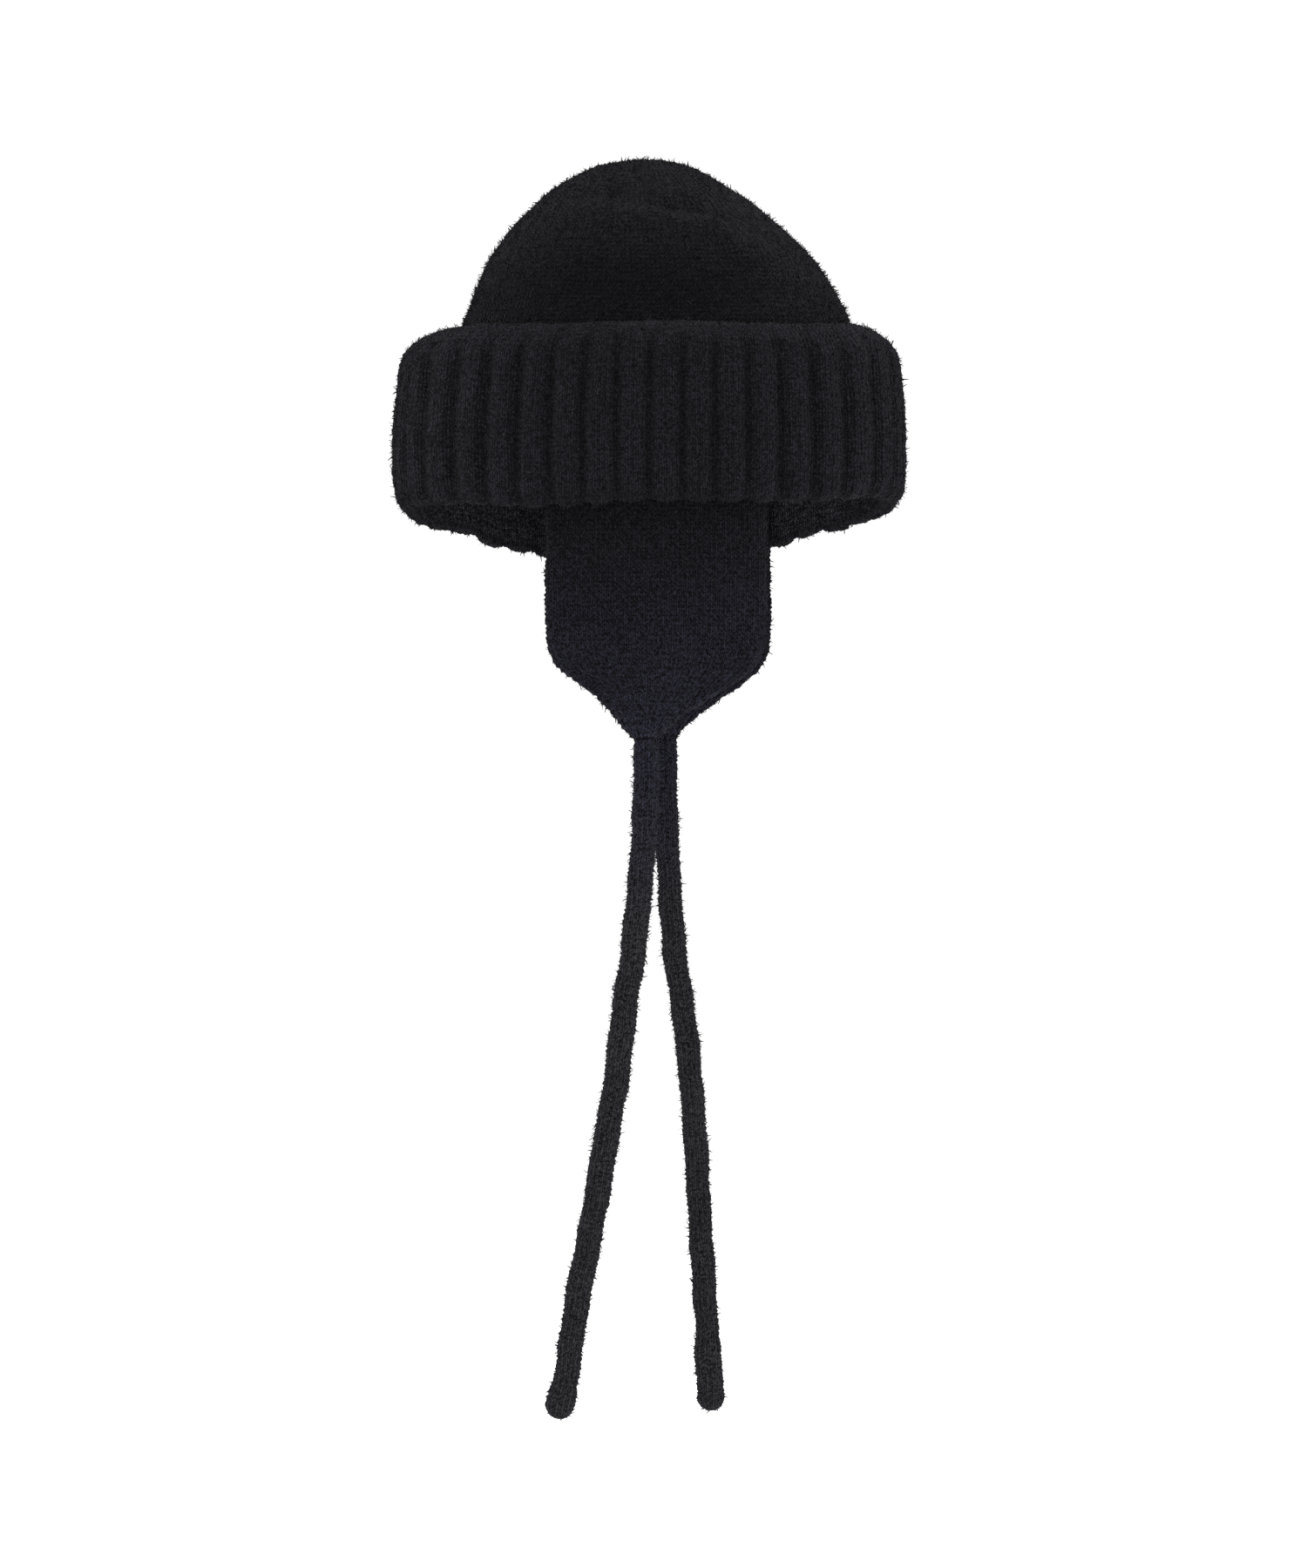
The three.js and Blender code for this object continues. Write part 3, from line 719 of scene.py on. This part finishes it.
def make_flap(name, flap, seed):
    last = len(flap_outline["down"]) - 1
    fine = np.linspace(0, last, 400)
    middle = flap_points(flap, np.zeros(400), fine)
    places = even_places(middle, stitch / 2) * last
    around = np.linspace(0, 1, 2 * flap_wales + 1)[None, :]
    rows = flap_points(flap, around, places[:, None])
    share = column_at(flap_outline["half"], places)
    wales = wales_for(share, 1, flap_wales)
    courses = np.arange(len(rows)) / 2
    relief = ridges(around * wales[:, None], courses[:, None], plain_relief)
    relief += uneven_stitches(wales, around.size, 0.00026, seed)
    outward = normals_of(rows)
    facing = np.sign((outward[:, :1] * (rows[:, :1] - rows.mean(axis=1, keepdims=True))).sum(axis=2, keepdims=True))
    rows = rows + outward * facing * relief[..., None]
    first, tip = rows[:1].mean(axis=1, keepdims=True), rows[-1:].mean(axis=1, keepdims=True)
    shape = (1, rows.shape[1], 3)
    rounding = [mix(tip, rows[-1:], share) - np.array([0, 0, fall]) for share, fall in ((0.85, 0.0012), (0.5, 0.0022))]
    end = np.broadcast_to(tip - np.array([0, 0, 0.0026]), shape)
    rows = np.concatenate([np.broadcast_to(first, shape), rows, *rounding, end])
    courses = np.concatenate([[courses[0] - 1], courses, courses[-1] + np.array([0.5, 1, 1.5])])
    wales = np.concatenate([wales[:1], wales, wales[-1:], wales[-1:]])
    shows = np.mean(rows[:, :, 2], axis=1) < cuff_edges_at(np.array(flap[0] / 4))[0] + 0.008
    piece = lay_fabric(name, rows, wales, courses, shows)
    roughen(piece, 0.012, 0.0014)
    return piece


flap_right = make_flap("flap_right_knit", flaps["right"], 3)
flap_left = make_flap("flap_left_knit", flaps["left"], 4)

# %% [markdown]
# ## The ties
#
# Each tie is a knitted tube about 11 mm thick, limp and a little uneven, and its free end is a rounder, thicker knot
# of the same knit. A smooth line runs through the route's points, rings of stitches are laid round it, and the radius
# swells at the end and closes over it.


# %% Tie shape
def smooth_line(route, spacing):
    route = np.array(route)
    fine = column_at_points(route, np.linspace(0, len(route) - 1, 1200))
    return column_at_points(route, even_places(fine, spacing) * (len(route) - 1))


def column_at_points(points, place):
    return np.stack([column_at(points[:, k], place) for k in range(3)], axis=-1)


tie_wales = 16


def make_tie(name, route, end_length, seed):
    line = smooth_line(route, stitch / 2.5)
    run = np.concatenate(([0], np.cumsum(np.linalg.norm(np.diff(line, axis=0), axis=1))))
    total = run[-1]
    cap = np.linspace(0, math.pi / 2, 8)[1:]
    tangent = np.gradient(line, axis=0)
    tangent /= np.linalg.norm(tangent, axis=1, keepdims=True)
    to_x = np.array([1.0, 0, 0]) - tangent * tangent[:, :1]
    to_x /= np.linalg.norm(to_x, axis=1, keepdims=True)
    to_y = np.cross(tangent, to_x)
    swell = ease((run - total + end_length) / 0.004)
    radius = mix(tie_diameter / 2, tie_end_diameter / 2, swell)
    radius *= 1 + 0.035 * np.sin(run / 0.0135 + seed) * np.sin(run / 0.0052 + 1.3)
    wander = np.sin(run / 0.0105 + seed) * np.sin(run / 0.0071) * ease(run / 0.02)
    line = line + to_x * (0.0005 * wander)[:, None]
    centres = np.concatenate([line, line[-1] + tangent[-1] * (radius[-1] * np.sin(cap))[:, None]])
    radius = np.concatenate([radius, radius[-1] * np.cos(cap)])
    to_x = np.concatenate([to_x, np.repeat(to_x[-1:], len(cap), axis=0)])
    to_y = np.concatenate([to_y, np.repeat(to_y[-1:], len(cap), axis=0)])
    around = np.linspace(0, 1, 3 * tie_wales + 1)
    angle = 2 * math.pi * around
    courses = np.concatenate([run, total + radius[len(line) - 1] * cap]) / stitch
    relief = ridges(around[None, :] * tie_wales, courses[:, None], tie_relief)
    relief += uneven_stitches(np.full(len(radius), tie_wales), around.size, 0.00032, seed)
    reach = np.maximum(radius[:, None] + 0.0001 + relief * (radius > 0.002)[:, None], 0)
    reach[-1] = 0
    rows = centres[:, None] + reach[..., None] * (
        to_x[:, None] * np.cos(angle)[None, :, None] + to_y[:, None] * np.sin(angle)[None, :, None]
    )
    rows = np.concatenate([np.broadcast_to(centres[:1, None], (1, *rows.shape[1:])), rows])
    courses = np.concatenate([[-1], courses])
    piece = lay_fabric(name, rows, np.full(len(rows), tie_wales), courses, np.ones(len(rows)))
    return piece, [tuple(float(c) for c in point) for point in centres]


tie_right, tie_right_path = make_tie("tie_right_knit", tie_route_right, 0.009, 5)
tie_left, tie_left_path = make_tie("tie_left_knit", tie_route_left, 0.028, 6)
print("Ties:", round(length_of(tie_right_path), 4), round(length_of(tie_left_path), 4), "m long")

# %% [markdown]
# ## Shader sums as Python
#
# A wool material is mostly arithmetic on the stitch map. Wrapping a socket in a small class lets the pattern be
# written as an ordinary expression, and one function makes every other node.


# %% Sockets and nodes
def make_node(tree, kind, settings=None, inputs=None, output=0):
    node = tree.nodes.new(kind)
    for name, value in (settings or {}).items():
        setattr(node, name, value)
    for key, value in (inputs or {}).items():
        if isinstance(value, Socket):
            tree.links.new(value.out, node.inputs[key])
        else:
            node.inputs[key].default_value = value
    return Socket(tree, node.outputs[output] if len(node.outputs) else None)


class Socket:
    """A node's output that takes part in Python sums."""

    def __init__(self, tree, out):
        self.tree, self.out = tree, out

    def sum(self, operation, *values):
        return make_node(self.tree, "ShaderNodeMath", {"operation": operation}, dict(enumerate(values)))

    def __add__(self, other):
        return self.sum("ADD", self, other)

    __radd__ = __add__

    def __mul__(self, other):
        return self.sum("MULTIPLY", self, other)

    __rmul__ = __mul__

    def __sub__(self, other):
        return self.sum("SUBTRACT", self, other)

    def __rsub__(self, other):
        return self.sum("SUBTRACT", other, self)

    def __pow__(self, other):
        return self.sum("POWER", self, other)

    def __abs__(self):
        return self.sum("ABSOLUTE", self)

    def part(self):
        """What is left after the whole stitches."""
        return self.sum("FRACT", self)

    def sine(self):
        return self.sum("SINE", self)

    def over(self, low, high):
        """0 below low and 1 above high, smoothly."""
        return make_node(
            self.tree,
            "ShaderNodeMapRange",
            {"interpolation_type": "SMOOTHSTEP"},
            {0: self, 1: low, 2: high, 3: 0.0, 4: 1.0},
        )


# %% [markdown]
# ## The wool
#
# Seen close, plain knit is columns of V shapes: two slanted legs of yarn for each stitch. The pattern below bends
# the rows up on both sides of each wale's middle, which gives the legs, rounds each leg, and in the colour paints
# shade between the legs. Brushed wool hides most of it under a haze of fibre, so noise finer than a stitch is laid
# over it, each stitch has its own tone, the tension wanders a little, and a few pale hairs are caught in it. The yarn
# is a very dark blue-black with a faint sheen and no gloss. In the crown's hollow and between the ribs the soft light
# leaves the fabric lighter than it is in the photograph, so an attribute of the mesh dims the colour there as painted
# shade. The wool turns lighter and bluer towards the flaps' tips and the ties. The cuff's inside shows only in shade,
# and its colour is painted about three times as pale as the outside's, a painted light that gives it the tone it has
# in the photograph.


# %% Knit material
def knit(name, yarn, seed, other=None, way="height", start=0.0, stop=1.0, relief=0.0009):
    """Knitted wool. Where another yarn is given, the colour turns into it from start to stop, going down by height
    or onwards by courses."""
    material = bpy.data.materials.new(name)
    material.use_nodes = True
    tree = material.node_tree
    tree.nodes.clear()
    place = make_node(tree, "ShaderNodeTexCoord", output=3)
    stitches = make_node(tree, "ShaderNodeTexCoord", output=2)

    def noise(where, scale, detail):
        return make_node(tree, "ShaderNodeTexNoise", {}, {"Vector": where, "Scale": scale, "Detail": detail}, 0)

    def blend(share, first, second):
        first, second = (c if isinstance(c, Socket) else (*c, 1) for c in (first, second))
        return make_node(tree, "ShaderNodeMix", {"data_type": "RGBA"}, {0: share, 6: first, 7: second}, 2)

    uneven = noise(stitches, 0.3, 2.0)
    across = make_node(tree, "ShaderNodeSeparateXYZ", {}, {0: stitches}, 0) + uneven * 0.6
    along = make_node(tree, "ShaderNodeSeparateXYZ", {}, {0: stitches}, 1) + uneven * 0.8
    from_middle = abs(across.part() - 0.5) * 2
    leg = 1 - (from_middle * 2 - 1) ** 2
    strand = ((along - from_middle * 0.7).part() * math.pi).sine()
    loop = leg * (strand * 0.7 + 0.3)
    single = noise(stitches, 1.1, 0.0).over(0.32, 0.68)
    haze = noise(place, 1100.0 + seed, 2.0)
    tufts = noise(place, 330.0 + seed, 2.0)
    cloud = noise(place, 24.0 + seed, 2.0)
    height = loop * 0.8 + haze * 0.8 + tufts * 0.5 + single * 0.3
    bump = make_node(tree, "ShaderNodeBump", {}, {"Strength": 1.0, "Distance": relief, "Height": height})
    # Painted shade: the colour is darker between the legs of each stitch; the haze, each stitch's own tone and the
    # cloud are the wool's own uneven tone.
    shade = (loop * 1.2 + 0.1) * (haze.over(0.36, 0.64) * 1.7 + 0.1) * (single * 0.8 + 0.57)
    shade = shade * (cloud.over(0.3, 0.7) * 0.3 + 0.85) * 0.8
    # Painted shade from the mesh: the colour is dimmed in the crown's hollow and in the cuff's grooves, and fewer pale
    # hairs show there.
    painted_sunk_shade = make_node(tree, "ShaderNodeAttribute", {"attribute_name": "painted_hollow_shade"}, {}, "Fac")
    shade = shade * (1 - painted_sunk_shade * 0.7)
    hairs = (1 - painted_sunk_shade * 0.6) * haze.over(0.69, 0.76) * tufts.over(0.54, 0.66)
    deep, bright = (tuple(c * share for c in yarn) for share in (0.08, 2.9))
    colour = blend(shade, deep, bright)
    if other:
        if way == "height":
            turned = 1 - make_node(tree, "ShaderNodeSeparateXYZ", {}, {0: place}, 2).over(stop, start)
        else:
            turned = make_node(tree, "ShaderNodeSeparateXYZ", {}, {0: stitches}, 1).over(start, stop)
        other_deep, other_bright = (tuple(c * share for c in other) for share in (0.08, 2.9))
        colour = blend(turned, colour, blend(shade, other_deep, other_bright))
    colour = blend(hairs * 0.42, colour, (0.12, 0.115, 0.11))
    wool = make_node(
        tree,
        "ShaderNodeBsdfPrincipled",
        {},
        {
            "Base Color": colour,
            "Roughness": 0.86 + tufts * 0.12,
            "Specular IOR Level": 0.06,
            "Sheen Weight": 0.013,
            "Sheen Roughness": 0.5,
            "Sheen Tint": (0.75, 0.75, 0.9, 1),
            "Normal": bump,
        },
    )
    make_node(tree, "ShaderNodeOutputMaterial", {}, {"Surface": wool})
    return material


def fibre_wool(name, yarn):
    material = bpy.data.materials.new(name)
    material.use_nodes = True
    tree = material.node_tree
    tree.nodes.clear()
    place = make_node(tree, "ShaderNodeTexCoord", output=3)
    patch = make_node(tree, "ShaderNodeTexNoise", {}, {"Vector": place, "Scale": 420.0, "Detail": 1.0}, 0)
    colour = make_node(
        tree,
        "ShaderNodeMix",
        {"data_type": "RGBA"},
        {0: patch.over(0.35, 0.75), 6: (*(c * 0.8 for c in yarn), 1), 7: (*(c * 2.0 for c in yarn), 1)},
        2,
    )
    wool = make_node(
        tree,
        "ShaderNodeBsdfPrincipled",
        {},
        {"Base Color": colour, "Roughness": 0.8 + patch * 0.15, "Specular IOR Level": 0.1},
    )
    make_node(tree, "ShaderNodeOutputMaterial", {}, {"Surface": wool})
    return material


yarn = {
    "crown_knit": (0.0026, 0.0025, 0.0033),
    "rib_knit": (0.0033, 0.0032, 0.0044),
    "flap_knit": (0.0028, 0.0027, 0.0038),
    "tie_knit": (0.0088, 0.0086, 0.0118),
}
# Painted light: the cuff's inside, which lies in shade, gets a colour about three times as pale as its outside's.
inside_painted_light_yarn = (0.0112, 0.0110, 0.0138)
flap_tip_yarn = (0.0058, 0.0056, 0.0092)
tie_lower_yarn = (0.0086, 0.0084, 0.0096)
knits = {
    "crown_knit": knit("crown_wool", yarn["crown_knit"], 0.0),
    "rib_knit": knit("rib_wool", yarn["rib_knit"], 3.0, inside_painted_light_yarn, "courses", rim_course, rim_course + 3),
    "flap_knit": knit("flap_wool", yarn["flap_knit"], 6.0, flap_tip_yarn, "height", -0.165, -0.265),
    "tie_knit": knit("tie_wool", flap_tip_yarn, 9.0, tie_lower_yarn, "height", -0.27, -0.36),
}
fibres = {slot: fibre_wool(slot + "_fibre", colour) for slot, colour in yarn.items()}

# %% [markdown]
# ## Loose fibre
#
# Brushed wool has a halo: thousands of short hairs that stand off the surface and soften its outline. Hair curves
# would not survive the export, so one hair is modelled as a narrow bent strip of two faces, copied over the fabric by
# Geometry Nodes, and realised into an ordinary mesh. It grows only where the fabric shows, and only as densely as
# keeps each coat under 200,000 triangles and the whole cap under a million.


# %% One fibre
def make_fibre():
    bpy.ops.object.select_all(action="DESELECT")
    bpy.ops.mesh.primitive_grid_add(x_subdivisions=1, y_subdivisions=2, size=1)
    strip = bpy.context.object
    strip.name = strip.data.name = "single_fibre"
    for vertex in strip.data.vertices:
        side, up = vertex.co.x * 2, vertex.co.y + 0.5
        vertex.co = (0.00013 * side * (1 - 0.6 * up), 0.00035 * up * up, 0.001 * up)
    return strip


fibre = make_fibre()


# %% Growing it
def fuzz(name, base, slot, density, shortest, longest, seed):
    """Fibres on a piece: density in hairs for each square millimetre, lengths in millimetres."""
    bpy.ops.object.select_all(action="DESELECT")
    base.select_set(True)
    bpy.context.view_layer.objects.active = base
    bpy.ops.object.duplicate()
    halo = bpy.context.object
    halo.name = halo.data.name = name
    tree = bpy.data.node_groups.new(name, "GeometryNodeTree")
    tree.interface.new_socket("Geometry", in_out="INPUT", socket_type="NodeSocketGeometry")
    tree.interface.new_socket("Geometry", in_out="OUTPUT", socket_type="NodeSocketGeometry")
    fabric = make_node(tree, "NodeGroupInput")
    grown = make_node(tree, "GeometryNodeInputNamedAttribute", {"data_type": "FLOAT"}, {"Name": "nap"})
    amount = grown * (density * 1e6)
    points = make_node(
        tree, "GeometryNodeDistributePointsOnFaces", {}, {"Mesh": fabric, "Density": amount, "Seed": seed}
    )
    upright = Socket(tree, points.out.node.outputs["Rotation"])
    lean = make_node(
        tree,
        "FunctionNodeRandomValue",
        {"data_type": "FLOAT_VECTOR"},
        {0: (-1.15, -1.15, 0.0), 1: (1.15, 1.15, 6.2832), 8: seed + 1},
    )
    lean = make_node(tree, "FunctionNodeEulerToRotation", {}, {0: lean})
    turned = make_node(
        tree, "FunctionNodeRotateRotation", {"rotation_space": "LOCAL"}, {"Rotation": upright, "Rotate By": lean}
    )
    chance = make_node(
        tree, "FunctionNodeRandomValue", {"data_type": "FLOAT"}, {2: 0.0, 3: 1.0, 8: seed + 2}, 1
    )
    size = chance**4 * (longest - shortest) + shortest
    one = make_node(tree, "GeometryNodeObjectInfo", {}, {"Object": fibre}, "Geometry")
    copies = make_node(
        tree, "GeometryNodeInstanceOnPoints", {}, {"Points": points, "Instance": one, "Rotation": turned, "Scale": size}
    )
    real = make_node(tree, "GeometryNodeRealizeInstances", {}, {0: copies})
    dressed = make_node(tree, "GeometryNodeSetMaterial", {}, {"Geometry": real, "Material": fibres[slot]})
    make_node(tree, "NodeGroupOutput", {}, {0: dressed})
    growing = halo.modifiers.new("fibres", "NODES")
    growing.node_group = tree
    bpy.ops.object.modifier_apply(modifier=growing.name)
    halo.data.materials.clear()
    halo.data.materials.append(fibres[slot])
    print(name, len(halo.data.polygons) // 2, "fibres,", 2 * len(halo.data.polygons), "triangles")
    return halo


crown_fuzz = fuzz("crown_fuzz", crown, "crown_knit", 0.6, 0.7, 2.7, 11)
cuff_fuzz = fuzz("cuff_fuzz", cuff, "rib_knit", 0.38, 0.7, 2.7, 21)
flap_right_fuzz = fuzz("flap_right_fuzz", flap_right, "flap_knit", 0.38, 0.7, 2.5, 31)
flap_left_fuzz = fuzz("flap_left_fuzz", flap_left, "flap_knit", 0.38, 0.7, 2.5, 41)
tie_right_fuzz = fuzz("tie_right_fuzz", tie_right, "tie_knit", 0.68, 0.6, 2.6, 51)
tie_left_fuzz = fuzz("tie_left_fuzz", tie_left, "tie_knit", 0.68, 0.6, 2.6, 61)
bpy.data.objects.remove(fibre)

# %% [markdown]
# ## What each piece is
#
# Every piece rides on the one body, names the solid it stands for and the finish it takes, and that solid is
# hidden. Each tie's length is worked out from its path and not used further. The crown is knitted to its domed
# shape and never was flat.

# %% Pieces
pieces = [
    (crown, crown_fuzz, "crown", "crown_knit"),
    (cuff, cuff_fuzz, "cuff", "rib_knit"),
    (flap_right, flap_right_fuzz, "ear_flap_right", "flap_knit"),
    (flap_left, flap_left_fuzz, "ear_flap_left", "flap_knit"),
    (tie_right, tie_right_fuzz, "tie_right", "tie_knit"),
    (tie_left, tie_left_fuzz, "tie_left", "tie_knit"),
]
for piece, halo, node, slot in pieces:
    piece.data.materials.clear()
    piece.data.materials.append(knits[slot])
    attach(piece, "root")
    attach(halo, "root")
    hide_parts(node)

for tie, halo, path in ((tie_right, tie_right_fuzz, tie_right_path), (tie_left, tie_left_fuzz, tie_left_path)):
    length_of(path)

# %% [markdown]
# ## Floor and light
#
# The floor is a plain pale surface under the free ends of the ties. The light is that of a white studio tent: an
# even white surround, and large soft lamps. The key and the top lamp give the dome and the ribs their form, a low one
# reaches under the cuff, and one at each end keeps the cuff's ends from going dark.

# %% Floor and lights
bpy.ops.mesh.primitive_circle_add(vertices=96, radius=6, fill_type="NGON", location=(0, 0, 0))
floor = bpy.context.object
floor.name = floor.data.name = "studio_floor"
for vertex in floor.data.vertices:
    vertex.co.z = -0.66
paint = bpy.data.materials.new("pale_floor")
paint.use_nodes = True
paint.node_tree.nodes["Principled BSDF"].inputs["Base Color"].default_value = (0.95, 0.95, 0.95, 1)
paint.node_tree.nodes["Principled BSDF"].inputs["Roughness"].default_value = 0.9
floor.data.materials.append(paint)

world = bpy.data.worlds.new("white_tent")
world.use_nodes = True
world.node_tree.nodes["Background"].inputs["Color"].default_value = (1, 1, 1, 1)
world.node_tree.nodes["Background"].inputs["Strength"].default_value = 1.08
bpy.context.scene.world = world


def soft_lamp(name, place, aim, size, power):
    bpy.ops.object.light_add(type="AREA", location=place)
    lamp = bpy.context.object
    lamp.name = name
    lamp.data.shape = "DISK"
    lamp.data.size = size
    lamp.data.energy = power
    direction = np.array(aim) - np.array(place)
    lamp.rotation_euler = (
        math.atan2(math.hypot(direction[0], direction[1]), -direction[2]),
        0,
        math.atan2(direction[1], direction[0]) - math.pi / 2,
    )


soft_lamp("key_lamp", (-0.5, -0.65, 1.2), (0, 0, -0.15), 0.9, 23)
soft_lamp("top_lamp", (0.3, 0.2, 1.2), (0, 0, -0.15), 0.8, 11)
soft_lamp("low_lamp", (0.3, -1.5, -0.55), (0, 0, -0.2), 0.7, 14)
soft_lamp("forehead_lamp", (1.3, -0.4, 0.2), (0, 0, -0.15), 0.8, 15)
soft_lamp("back_lamp", (-1.3, -0.3, 0.2), (0, 0, -0.15), 0.8, 13)
bpy.context.scene.view_settings.view_transform = "Standard"
